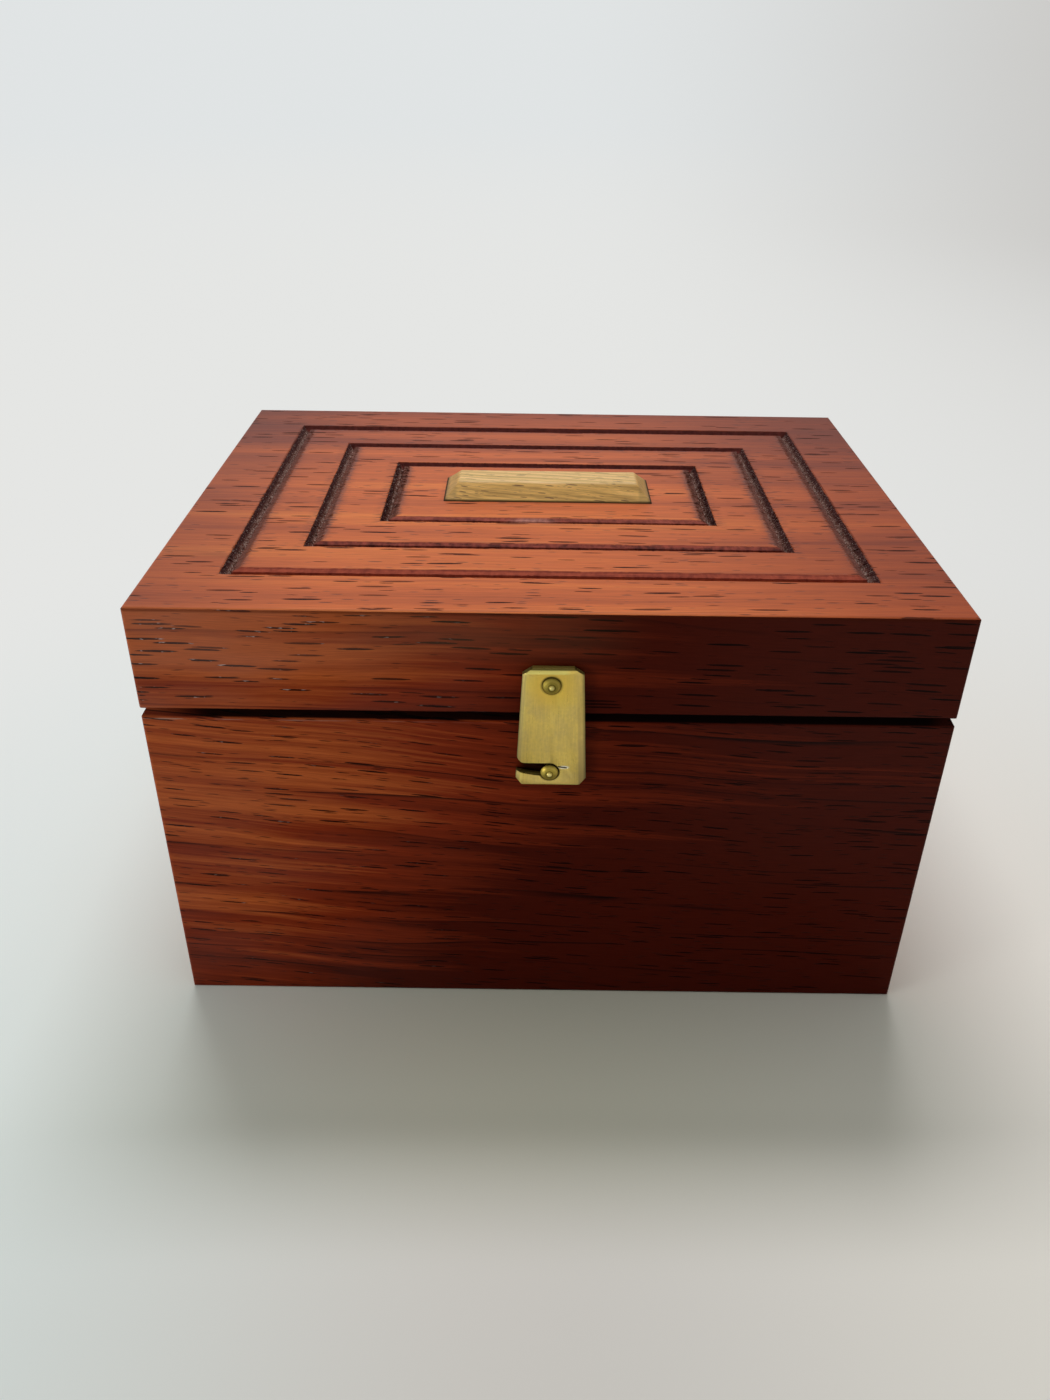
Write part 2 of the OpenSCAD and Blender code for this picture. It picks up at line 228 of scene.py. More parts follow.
def useGroup(tree, group, sockets):
    return addNode(tree, "ShaderNodeGroup", sockets, node_tree=group).outputs


def setSurface(tree, shader, colour, rough, height, strength, depth):
    tree.links.new(colour, shader.inputs["Base Color"])
    tree.links.new(rough, shader.inputs["Roughness"])
    bump = addNode(tree, "ShaderNodeBump", {"Height": height, "Strength": strength, "Distance": depth})
    tree.links.new(bump.outputs[0], shader.inputs["Normal"])


# Floor and world. What the camera sees of them far off is the pale backdrop, and so is what
# metal and glass mirror behind the box; the dark room in front of it is mirrored as it is.

def addFloor():
    bpy.ops.mesh.primitive_grid_add(x_subdivisions=4, y_subdivisions=4, size=studio["floorSize"])
    floor = bpy.context.object
    floor.name = "floor"
    material, tree, shader = newMaterial("palePaper")
    tree.nodes.remove(shader)
    path = addNode(tree, "ShaderNodeLightPath").outputs
    place = objectPlace(tree)
    axes = split(tree, place)
    widened = stretch(tree, place, (1.35, 1, 1))
    away = distance(tree, widened, studio["fadeCentre"])
    fade = faded(tree, away, studio["fadeFrom"], studio["fadeTo"])
    behind = faded(tree, axes[1], 0.1, 0.5)
    seen = plus(tree, path["Is Camera Ray"], path["Is Transmission Ray"], clamp=True)
    mirrored = times(tree, path["Is Glossy Ray"], behind)
    share = times(tree, fade, plus(tree, seen, mirrored, clamp=True))
    # the backdrop is darker to the right: painted shade
    slant = calc(tree, "DIVIDE", axes[0], plus(tree, calc(tree, "ABSOLUTE", axes[1]), 0.4))
    side = faded(tree, slant, 0.0, 0.55)
    side = times(tree, side, faded(tree, away, 0.5, 1.6, 0.3, 1.0))
    far = faded(tree, away, 0.6, 3.0)
    pale = blendColour(tree, far, studio["backdrop"], studio["farBackdrop"])
    pale = blendColour(tree, side, pale, studio["backdropShadedRight"])
    # the paper's tint is painted light: yellower in the shade in front of the box, cooler at the left
    # against the box's red bounce, and brighter to the right where less shade falls
    toLeft = faded(tree, axes[0], -0.15, 0.0, 1.0, 0.0)
    near = faded(tree, axes[1], -0.135, -0.095)
    tint = blendColour(tree, near, studio["paper"], studio["paperShadowTint"])
    tint = blendColour(tree, toLeft, tint, studio["paperLeft"])
    toRight = faded(tree, axes[0], 0.0, 0.11)
    tint = blendColour(tree, toRight, tint, studio["paperRight"])
    paper = addNode(tree, "ShaderNodeBsdfDiffuse", {"Color": tint})
    glow = addNode(tree, "ShaderNodeEmission", {"Color": pale, "Strength": 1.0})
    mixed = addNode(tree, "ShaderNodeMixShader", {0: share, 1: paper.outputs[0], 2: glow.outputs[0]})
    tree.links.new(mixed.outputs[0], tree.nodes["Material Output"].inputs["Surface"])
    floor.data.materials.append(material)


def setWorld():
    world = bpy.data.worlds.new("studioWorld")
    bpy.context.scene.world = world
    world.use_nodes = True
    tree = world.node_tree
    tree.nodes.clear()
    path = addNode(tree, "ShaderNodeLightPath").outputs
    seen = plus(tree, path["Is Camera Ray"], path["Is Transmission Ray"], clamp=True)
    direction = addNode(tree, "ShaderNodeTexCoord").outputs["Generated"]
    axes = split(tree, direction)
    behind = faded(tree, axes[1], -0.15, 0.55)
    high = faded(tree, axes[2], 0.30, 0.70)
    front = blendColour(tree, high, studio["mirrorFrontLow"], studio["mirrorFrontHigh"])
    # the backdrop is darker to the right here too: painted shade
    slant = calc(tree, "DIVIDE", axes[0], plus(tree, calc(tree, "ABSOLUTE", axes[1]), 0.01))
    side = faded(tree, slant, 0.0, 0.55)
    pale = blendColour(tree, side, studio["farBackdrop"], studio["backdropShadedRight"])
    mirrored = blendColour(tree, behind, front, pale)
    colour = blendColour(tree, path["Is Glossy Ray"], studio["ambient"], mirrored)
    colour = blendColour(tree, seen, colour, pale)
    shown = addNode(tree, "ShaderNodeBackground", {"Color": colour, "Strength": 1.0})
    output = addNode(tree, "ShaderNodeOutputWorld")
    tree.links.new(shown.outputs[0], output.inputs["Surface"])


deselectAll()
addCamera()
for lampName, lampValues in studio["lamps"].items():
    addLamp(lampName, **lampValues)
addFloor()
setWorld()
bpy.context.scene.view_settings.view_transform = "Standard"
print("studio ready")


# Wood. The grain runs along X of the vector that the group is given, in metres.

def makeWoodGroup():
    group, given, result = newGroup("woodGrain", {
        "Vector": ("NodeSocketVector", None),
        "Pale": ("NodeSocketColor", (0.58, 0.14, 0.022, 1)),
        "Middle": ("NodeSocketColor", (0.46, 0.085, 0.016, 1)),
        "Dark": ("NodeSocketColor", (0.22, 0.035, 0.012, 1)),
        "Pore": ("NodeSocketColor", (0.05, 0.010, 0.006, 1)),
        "Shade": ("NodeSocketFloat", 0.0),
        "Face": ("NodeSocketVector", (0.0, 0.0, 1.0)),
        "Slope": ("NodeSocketFloat", 0.0),
        "Curve": ("NodeSocketFloat", 0.0),
        "Wave": ("NodeSocketFloat", 1.0),
        "Streak Width": ("NodeSocketFloat", 7.0),
        "Fine": ("NodeSocketFloat", 0.42),
        "Rings": ("NodeSocketFloat", 0.5),
        "Ring Width": ("NodeSocketFloat", 5.5),
        "Pore Length": ("NodeSocketFloat", 24.0),
        "Pore Width": ("NodeSocketFloat", 0.85),
        "Pore Share": ("NodeSocketFloat", 0.75),
        "Seed": ("NodeSocketFloat", 0.0),
    }, {"Color": "NodeSocketColor", "Height": "NodeSocketFloat", "Pores": "NodeSocketFloat",
        "Flecks": "NodeSocketFloat"})
    tree = group
    seed = given["Seed"]
    offset = joined(tree, times(tree, seed, 37.0), times(tree, seed, 91.0), times(tree, seed, 53.0))
    inMm = asMm(tree, given["Vector"])
    place = vecCalc(tree, "ADD", inMm, offset)
    # the grain drifts and waves within the face it is seen on, so its dashes keep their length
    drift = noise(tree, stretch(tree, place, (1 / 55, 1 / 40, 1 / 40)), 1.0, 1.5)
    bend = vecCalc(tree, "SUBTRACT", drift.outputs["Color"], (0.5, 0.5, 0.5))
    waved = stretch(tree, scaled(tree, bend, times(tree, given["Wave"], 9.0)), given["Face"])
    along = split(tree, inMm)[0]
    turn = minus(tree, 1.0, times(tree, along, given["Curve"]))
    lean = times(tree, times(tree, along, turn), given["Slope"])
    grain = vecCalc(tree, "ADD", vecCalc(tree, "ADD", place, waved), scaled(tree, given["Face"], lean))
    # colour streaks, broad and fine
    across = calc(tree, "DIVIDE", 1.0, given["Streak Width"])
    broadScale = joined(tree, 1 / 210, across, across)
    broad = noise(tree, stretch(tree, grain, broadScale), 1.0, 2.5, 0.55).outputs[0]
    fine = noise(tree, stretch(tree, grain, (1 / 60, 1 / 0.9, 1 / 0.9)), 1.0, 4.0, 0.65).outputs[0]
    rings = noise(tree, stretch(tree, grain, (1 / 240, 1 / 14, 1 / 14)), 1.0, 1.0, 0.4).outputs[0]
    grainAxes = split(tree, grain)
    depthIn = calc(tree, "DIVIDE", plus(tree, grainAxes[1], grainAxes[2]), given["Ring Width"])
    phase = calc(tree, "FRACT", plus(tree, depthIn, times(tree, rings, 3.5)))
    fibre = noise(tree, stretch(tree, grain, (1 / 6, 1 / 0.2, 1 / 0.2)), 1.0, 2.0).outputs[0]
    tone = blendValue(tree, given["Fine"], broad, fine)
    late = times(tree, ranged(tree, phase, 0.40, 1.0, 0.0, 0.16), given["Rings"])
    tone = minus(tree, minus(tree, tone, late), given["Shade"])
    colour = blendColour(tree, ranged(tree, tone, 0.26, 0.49), given["Dark"], given["Middle"])
    colour = blendColour(tree, ranged(tree, tone, 0.49, 0.66), colour, given["Pale"])
    ticks = ranged(tree, fibre, 0.25, 0.75, 0.82, 1.18)
    colour = blendColour(tree, 1.0, colour, joined(tree, ticks, ticks, ticks), "MULTIPLY")
    # thin dark lines where one year's growth ends
    broken = noise(tree, stretch(tree, grain, (1 / 38, 1 / 2.2, 1 / 2.2)), 1.0, 2.0).outputs[0]
    lines = times(tree, ranged(tree, phase, 0.90, 0.97), ranged(tree, broken, 0.46, 0.58))
    lines = times(tree, lines, times(tree, given["Rings"], 2.0, clamp=True))
    colour = blendColour(tree, lines, colour, given["Pore"])
    # pores: dashes of many lengths, where only some cells hold one, and faint hairs between them
    ragged = noise(tree, stretch(tree, grain, (0.7, 4.0, 4.0)), 1.0, 2.0).outputs["Color"]
    ragged = stretch(tree, vecCalc(tree, "SUBTRACT", ragged, (0.5, 0.5, 0.5)), (0.10, 0.12, 0.12))
    width = calc(tree, "DIVIDE", 1.0, given["Pore Width"])
    poreScale = joined(tree, calc(tree, "DIVIDE", 1.0, given["Pore Length"]), width, width)
    cellPlace = vecCalc(tree, "ADD", stretch(tree, grain, poreScale), ragged)
    cells = addNode(tree, "ShaderNodeTexVoronoi", {"Vector": cellPlace, "Scale": 1.0})
    chance = addNode(tree, "ShaderNodeSeparateColor", {0: cells.outputs["Color"]}).outputs
    held = calc(tree, "LESS_THAN", chance[0], given["Pore Share"])
    reach = ranged(tree, chance[1], 0.0, 1.0, 0.15, 0.33)
    depth = minus(tree, 1.0, calc(tree, "DIVIDE", cells.outputs["Distance"], reach), clamp=True)
    pores = times(tree, ranged(tree, depth, 0.0, 0.12), held)
    pores = times(tree, pores, ranged(tree, chance[2], 0.0, 1.0, 0.75, 1.0))
    shortScale = stretch(tree, poreScale, (2.1, 1.6, 1.6))
    shorts = addNode(tree, "ShaderNodeTexVoronoi",
                     {"Vector": stretch(tree, grain, shortScale), "Scale": 1.0})
    chance = addNode(tree, "ShaderNodeSeparateColor", {0: shorts.outputs["Color"]}).outputs
    held = calc(tree, "LESS_THAN", chance[0], given["Pore Share"])
    reach = ranged(tree, chance[1], 0.0, 1.0, 0.10, 0.28)
    depth = minus(tree, reach, shorts.outputs["Distance"], clamp=True)
    short = times(tree, ranged(tree, depth, 0.0, 0.08, 0.0, 0.75), held)
    marks = calc(tree, "MAXIMUM", pores, short)
    colour = blendColour(tree, marks, colour, given["Pore"])
    height = minus(tree, times(tree, fibre, 0.25), marks)
    tree.links.new(colour, result["Color"])
    tree.links.new(height, result["Height"])
    tree.links.new(pores, result["Pores"])
    flecks = noise(tree, stretch(tree, inMm, (0.5, 2.0, 2.0)), 1.0, 2.0).outputs[0]
    tree.links.new(times(tree, ranged(tree, flecks, 0.60, 0.68), pores), result["Flecks"])
    return group


woodGrain = makeWoodGroup()
# the front palette is darker than the top's: partly the front boards' own tone, partly painted shade
# for faces the lamps light less
palettes = {
    "top": {"Pale": (0.75, 0.215, 0.052, 1), "Middle": (0.60, 0.136, 0.037, 1),
            "Dark": (0.31, 0.060, 0.023, 1), "Pore": (0.030, 0.005, 0.004, 1)},
    "front": {"Pale": (0.52, 0.110, 0.025, 1), "Middle": (0.245, 0.028, 0.006, 1),
              "Dark": (0.072, 0.006, 0.0015, 1), "Pore": (0.006, 0.0008, 0.0006, 1)},
    "plain": {"Pale": (0.54, 0.115, 0.016, 1), "Middle": (0.38, 0.066, 0.010, 1),
              "Dark": (0.17, 0.026, 0.006, 1), "Pore": (0.035, 0.006, 0.003, 1)},
}


def makeRedWood(name, palette, grainAlong="X", face=(0, 0, 1), seed=0.0, slope=0.0, curve=0.0,
                wave=1.0, streak=7.0, fine=0.42, rings=0.5, ringWidth=5.5, lean=0.0,
                pores=(24.0, 0.85, 0.75), shading=None, marks=None, amount=0.0, gloss=0.3):
    material, tree, shader = newMaterial(name)
    place = objectPlace(tree)
    turned, shade = place, 0.0
    if grainAlong == "Y":
        turned = addNode(tree, "ShaderNodeMapping",
                         {"Vector": place, "Rotation": (0, 0, radians(90))}).outputs[0]
    if shading:
        shade = useGroup(tree, shading, {"Vector": place, "Lean": lean})["Shade"]
    poreLength, poreWidth, poreShare = pores
    wood = useGroup(tree, woodGrain, {
        "Vector": turned, "Face": face, "Shade": shade, "Slope": slope, "Curve": curve, "Wave": wave,
        "Streak Width": streak, "Fine": fine, "Rings": rings, "Ring Width": ringWidth,
        "Pore Length": poreLength, "Pore Width": poreWidth, "Pore Share": poreShare, "Seed": seed,
        **palettes[palette]})
    colour, rough = wood["Color"], ranged(tree, wood["Pores"], 0.0, 1.0, 0.42, 0.8)
    if marks:
        marked = useGroup(tree, marks, {"Vector": place, "Color": colour, "Roughness": rough,
                                        "Flecks": wood["Flecks"], "Amount": amount})
        colour, rough = marked["Color"], marked["Roughness"]
    setSurface(tree, shader, colour, rough, wood["Height"], 0.6, 0.00008)
    shader.inputs["Specular IOR Level"].default_value = gloss
    return material


def makeShading(name, build):
    group, given, result = newGroup(name, {
        "Vector": ("NodeSocketVector", None),
        "Lean": ("NodeSocketFloat", 0.0),
    }, {"Shade": "NodeSocketFloat"})
    group.links.new(build(group, given), result["Shade"])
    return group


def makeMarks(name, build):
    group, given, result = newGroup(name, {
        "Vector": ("NodeSocketVector", None),
        "Color": ("NodeSocketColor", (0.5, 0.1, 0.02, 1)),
        "Roughness": ("NodeSocketFloat", 0.45),
        "Flecks": ("NodeSocketFloat", 0.0),
        "Amount": ("NodeSocketFloat", 0.0),
    }, {"Color": "NodeSocketColor", "Roughness": "NodeSocketFloat"})
    colour, rough = build(group, given)
    group.links.new(colour, result["Color"])
    group.links.new(rough, result["Roughness"])
    return group


def dressNode(name, material):
    piece = nodes[name]
    piece.data.materials.clear()
    piece.data.materials.append(material)
    for face in piece.data.polygons:
        face.material_index = 0


# A shade is taken off the wood's tone: more of it is darker

def topShade(tree, given):
    axes = split(tree, given["Vector"])
    rear = faded(tree, axes[1], -0.03, 0.065, -0.02, 0.13)
    right = faded(tree, axes[0], 0.0, 0.085, 0.0, 0.10)
    left = faded(tree, axes[0], -0.085, -0.03, 0.06, 0.0)
    return plus(tree, rear, plus(tree, left, right))


# on the front this is painted light and shade mixed with the wood's own tone: lighter at the upper left
# and on the lid's upper half, darker to the right, at the foot and at the lower left edge
def frontShade(tree, given):
    axes = split(tree, given["Vector"])
    raised = times(tree, minus(tree, axes[2], 0.045), given["Lean"])
    along = minus(tree, axes[0], raised)
    shade = faded(tree, along, -0.065, 0.015, -0.105, 0.20)
    shade = plus(tree, shade, ranged(tree, along, -0.01, 0.05, 0.0, 0.13))
    shade = plus(tree, shade, ranged(tree, axes[2], 0.0, 0.030, 0.11, 0.0))
    edge = times(tree, faded(tree, axes[0], -0.080, -0.058, 1.0, 0.0),
                 ranged(tree, axes[2], 0.0, 0.055, 0.12, 0.0))
    shade = plus(tree, shade, edge)
    upper = times(tree, faded(tree, axes[2], 0.083, 0.0925, 0.0, 1.0),
                  faded(tree, axes[0], 0.010, 0.060, -0.135, -0.02))
    shade = plus(tree, shade, upper)
    return plus(tree, shade, ranged(tree, axes[2], 0.0744, 0.0752, 0.0, 0.015))


wearAndLight = {
    "leftSheen": (0.42, 0.29, 0.27, 1),
    "smear": (0.30, 0.20, 0.11, 1),
    "smearMiddle": -0.014,
    "rightSheen": (0.24, 0.19, 0.18, 1),
    "waxInPores": (0.60, 0.45, 0.42, 1),
    "joint": (0.0015, 0.0005, 0.0004, 1),
    "jointHeight": 0.0743,
    "slotShadow": (0.006, 0.002, 0.001, 1),
    "slotShadowPlace": (-0.0007, -0.0625, 0.0630),
    "edgeGlint": (0.45, 0.30, 0.24, 1),
    "edgeGlintHeight": 0.07285,
    "lidEdge": (0.07, 0.012, 0.005, 1),
    "rim": (0.012, 0.002, 0.001, 1),
    "rimHeight": 0.0745,
}


def frontMarks(tree, given):
    place, colour = given["Vector"], given["Color"]
    axes = split(tree, place)
    inMm = asMm(tree, place)
    left = faded(tree, axes[0], -0.075, 0.0, 1.0, 0.0)
    # a painted sheen at the left, and old wax pale in some pores
    cloud = noise(tree, stretch(tree, inMm, (0.03, 0.09, 0.09)), 1.0, 2.0).outputs[0]
    leftSheen = times(tree, times(tree, left, ranged(tree, cloud, 0.30, 0.65)), given["Amount"])
    colour = blendColour(tree, leftSheen, colour, wearAndLight["leftSheen"])
    # an olive smear above the latch, and a thin painted sheen at the right
    beside = offFrom(tree, axes[0], wearAndLight["smearMiddle"])
    smear = times(tree, faded(tree, beside, 0.012, 0.036, 0.13, 0.0),
                  faded(tree, axes[2], 0.083, 0.092))
    smear = times(tree, smear, ranged(tree, cloud, 0.25, 0.6, 0.5, 1.0))
    colour = blendColour(tree, smear, colour, wearAndLight["smear"])
    rightSheen = times(tree, ranged(tree, axes[0], 0.015, 0.050, 0.0, 0.025),
                  ranged(tree, axes[2], 0.025, 0.055))
    colour = blendColour(tree, rightSheen, colour, wearAndLight["rightSheen"])
    filled = times(tree, given["Flecks"], times(tree, left, given["Amount"]))
    colour = blendColour(tree, times(tree, filled, 6.0, clamp=True), colour, wearAndLight["waxInPores"])
    # the joint between lid and base: painted shadow in it, lighter at the ends, and a painted highlight
    # along the edge under it
    bevel = offFrom(tree, axes[2], wearAndLight["jointHeight"])
    shadeAndDirt = faded(tree, bevel, 0.0008, 0.0012, 0.97, 0.0)
    shadeAndDirt = times(tree, shadeAndDirt, faded(tree, axes[1], -0.0610, -0.0598, 1.0, 0.35))
    endLight = faded(tree, axes[0], -0.0785, -0.066, 0.35, 1.0)
    endLight = times(tree, endLight, faded(tree, axes[0], 0.074, 0.079, 1.0, 0.6))
    shadeAndDirt = times(tree, shadeAndDirt, endLight)
    colour = blendColour(tree, shadeAndDirt, colour, wearAndLight["joint"])
    # painted shadow on the wood behind the slot, round the catch nail, wider than it is high
    widened = stretch(tree, place, (0.6, 1, 1))
    slotShadow = roundMask(tree, widened, wearAndLight["slotShadowPlace"], 0.0018, 0.0034, 0.9)
    colour = blendColour(tree, slotShadow, colour, wearAndLight["slotShadow"])
    # a painted highlight in broken dashes along the lower edge of the base's bevel, at the left
    edge = offFrom(tree, axes[2], wearAndLight["edgeGlintHeight"])
    edgeGlint = noise(tree, stretch(tree, inMm, (0.16, 1.0, 1.0)), 1.0, 3.0).outputs[0]
    edgeGlint = times(tree, ranged(tree, edgeGlint, 0.45, 0.62),
                   ranged(tree, edge, 0.00008, 0.0002, 0.6, 0.0))
    colour = blendColour(tree, times(tree, edgeGlint, left), colour, wearAndLight["edgeGlint"])
    lidEdge = ranged(tree, axes[2], 0.0961, 0.0965, 0.0, 0.55)
    colour = blendColour(tree, lidEdge, colour, wearAndLight["lidEdge"])
    return colour, blendValue(tree, shadeAndDirt, given["Roughness"], 1.0)


# the rim's bevel is darkened: painted shadow in the gap between lid and base
def rimMarks(tree, given):
    height = split(tree, given["Vector"])[2]
    bevel = offFrom(tree, height, wearAndLight["rimHeight"])
    shadeAndDirt = times(tree, faded(tree, bevel, 0.0006, 0.0016, 1.0, 0.0), given["Amount"])
    return blendColour(tree, shadeAndDirt, given["Color"], wearAndLight["rim"]), given["Roughness"]


frontShading = makeShading("frontShading", frontShade)
frontWearAndLight = makeMarks("frontWearAndLight", frontMarks)
rimShade = makeMarks("rimShade", rimMarks)
rim = dict(palette="plain", marks=rimShade, amount=0.45)
front = dict(palette="front", shading=frontShading, marks=frontWearAndLight, gloss=0.04, fine=0.32)
boards = {
    "lid_front": dict(front, seed=2.3, slope=0.02, wave=0.4, rings=0.15, amount=0.17,
                      pores=(15.0, 0.85, 0.95)),
    "base_front": dict(front, seed=4.1, slope=0.075, curve=0.004, wave=0.5, rings=0.4, ringWidth=7.0,
                       fine=0.4, lean=0.6, amount=0.05, pores=(15.0, 0.85, 0.9)),
    "lid_back": dict(rim, seed=5.2, slope=-0.02, wave=0.7),
    "base_back": dict(rim, seed=6.4, slope=0.03, wave=1.2),
    "base_bottom": dict(palette="plain", face=(0, 1, 0), seed=7.7, wave=0.5),
    "lid_left": dict(rim, grainAlong="Y", seed=8.1, wave=0.6),
    "lid_right": dict(rim, grainAlong="Y", seed=9.4, wave=0.6),
    "base_left": dict(rim, grainAlong="Y", seed=10.6, slope=0.03),
    "base_right": dict(rim, grainAlong="Y", seed=11.9, slope=-0.03),
}
for nodeName, values in boards.items():
    dressNode(nodeName, makeRedWood(nodeName + "Wood", **values))
print("boards dressed")


def addPiece(piece, material, node, body):
    piece.data.materials.clear()
    piece.data.materials.append(material)
    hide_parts(node)
    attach(piece, body)


def selectOnly(piece):
    deselectAll()
    piece.select_set(True)
    bpy.context.view_layer.objects.active = piece


def finishPiece(piece, bevel=0.0, segments=2, smooth=35):
    selectOnly(piece)
    if bevel:
        rounding = piece.modifiers.new("rounding", "BEVEL")
        rounding.width = bevel
        rounding.segments = segments
        rounding.limit_method = "ANGLE"
        rounding.angle_limit = radians(30)
        bpy.ops.object.modifier_apply(modifier=rounding.name)
    bpy.ops.object.shade_smooth_by_angle(angle=radians(smooth))


# Top board, cut with its grooves

topBoard = {
    "low": (0.0705, 0.0530, 0.0875),
    "high": (0.079795, 0.062295, 0.096795),
    "rounding": ((0.227, 0.152), (0.268, 0.053)),
    "grooveInset": 14.0,  # the grooves' measures are in mm
    "groovePitch": 14.2,
    "grooveShift": 0.5,
    "grooveWidths": (3.7, 3.2, 3.2),
    "grooveFlat": 0.3,
    "grooveLip": 0.35,
    "grooveWalls": ((0.8, -1.0, 3), (0.0, 0.0, 1), (0.3, 0.75, 1), (0.9, 0.25, 2)),
    "outerRing": (0.0653, 0.0478),  # half its length and depth, in metres
    "mitre": 0.0175,  # the first less the second
    "margin": 0.0003,
    "cutAbove": 0.09,
    "cuts": (12, 15),
    "endRoughness": 0.00022,
    "sideRoughness": 0.00007,
    "dims": ((0, -0.040, -0.085, (0.66, 0.62, 0.66, 1)),
             (0, 0.010, 0.085, (0.65, 0.53, 0.46, 1)),
             (1, 0.020, 0.062, (0.67, 0.57, 0.56, 1))),
    "endGrain": ((0.055, 0.015, 0.013, 1), (0.17, 0.070, 0.057, 1)),
    "specks": (0.50, 0.38, 0.34, 1),
    "outerWallShade": (0.040, 0.008, 0.008, 1),
    "sparkle": (0.55, 0.44, 0.40, 1),
    "longGrain": {"outer": ((0.23, 0.040, 0.025, 1), (0.42, 0.082, 0.045, 1)),
                  "middle": ((0.085, 0.018, 0.015, 1), (0.33, 0.068, 0.048, 1)),
                  "inner": ((0.13, 0.028, 0.022, 1), (0.36, 0.085, 0.060, 1)),
                  "rear": ((0.075, 0.013, 0.011, 1), (0.17, 0.032, 0.026, 1))},
    "lip": (0.055, 0.009, 0.008, 1),
    "pinkReflection": (0.70, 0.37, 0.31, 1),
    "pinkReflectionPlace": (-0.0020, -0.0205, 0.097),
    "splinters": (0.075, 0.015, 0.012, 1),
    "stain": (0.10, 0.035, 0.030, 1),
}


def editMode(select="FACE"):
    bpy.ops.object.mode_set(mode="EDIT")
    bpy.ops.mesh.select_mode(type=select)


def selectWhere(piece, kind, test):
    mesh = bmesh.from_edit_mesh(piece.data)
    bpy.ops.mesh.select_all(action="DESELECT")
    for part in getattr(mesh, kind):
        part.select_set(test(part))
    if kind == "faces":
        mesh.select_flush(True)
    bmesh.update_edit_mesh(piece.data)


def addBlock(name, low, high):
    deselectAll()
    size = [b - a for a, b in zip(low, high)]
    middle = [(a + b) / 2 for a, b in zip(low, high)]
    bpy.ops.mesh.primitive_cube_add(size=1, location=middle, scale=size)
    piece = bpy.context.object
    piece.name = name
    bpy.ops.object.transform_apply(location=True, rotation=True, scale=True)
    return piece


def insetBy(width, depth=0.0, steps=1):
    for step in range(steps):
        bpy.ops.mesh.inset(thickness=width / steps * mm, depth=depth / steps * mm, use_boundary=True)


def addTopBoard():
    v = topBoard
    highX, highY, highZ = v["high"]
    lowX, lowY, lowZ = v["low"]
    piece = addBlock("groovedTop", (-highX, -highY, lowZ), (highX, highY, highZ))
    editMode()
    selectWhere(piece, "faces", lambda face: face.normal.z < -0.9)
    bpy.ops.transform.resize(value=(lowX / highX, lowY / highY, 1), center_override=(0, 0, lowZ))
    selectWhere(piece, "faces", lambda face: face.normal.z > 0.9)
    for width, rise in v["rounding"]:
        insetBy(width, rise)
    insetBy(v["grooveInset"] - v["grooveLip"])
    bpy.ops.transform.translate(value=(0, v["grooveShift"] * mm, 0))
    for i, width in enumerate(v["grooveWidths"]):
        run = (width - v["grooveFlat"]) / 2
        insetBy(v["grooveLip"])
        for share, rise, steps in v["grooveWalls"]:
            insetBy(share * run + (v["grooveFlat"] if rise == 0 else 0), rise * run, steps)
        insetBy(v["grooveLip"])
        if i + 1 < len(v["grooveWidths"]):
            insetBy(v["groovePitch"] - width - 2 * v["grooveLip"])
    editMode("EDGE")
    outer = (highX - v["grooveInset"] * mm - v["margin"], highY - v["grooveInset"] * mm + v["margin"])
    for cuts in v["cuts"]:
        selectWhere(piece, "edges", lambda edge: runsAlong(edge, outer))
        bpy.ops.mesh.subdivide(number_cuts=cuts)
    roughenGrooves(piece)
    bpy.ops.object.mode_set(mode="OBJECT")
    return piece


def runsAlong(edge, outer):
    a, b = edge.verts[0].co, edge.verts[1].co
    inside = all(abs(p.x) < outer[0] and abs(p.y) < outer[1] + 0.001 for p in (a, b))
    straight = abs(a.z - b.z) < 1e-6 and (abs(a.x - b.x) < 1e-6 or abs(a.y - b.y) < 1e-6)
    return inside and straight and a.z > topBoard["cutAbove"]


def atEnds(co):
    return abs(co.x) - topBoard["mitre"] > abs(co.y - topBoard["grooveShift"] * mm)


def nearGroove(co):
    v = topBoard
    halfLength, halfDepth = v["outerRing"]
    ring = max(abs(co.x) - halfLength, abs(co.y - v["grooveShift"] * mm) - halfDepth) / mm
    return any(-width - 0.01 < ring + i * v["groovePitch"] < 0.01
               for i, width in enumerate(v["grooveWidths"]))


def roughenGrooves(piece):
    v = topBoard
    bpy.ops.mesh.select_mode(type="VERT")
    for seed, ends, amount in ((3, True, v["endRoughness"]), (5, False, v["sideRoughness"])):
        selectWhere(piece, "verts", lambda point: point.co.z > v["cutAbove"] and nearGroove(point.co)
                    and atEnds(point.co) == ends)
        bpy.ops.transform.vertex_random(offset=amount, uniform=0.0, normal=0.0, seed=seed)


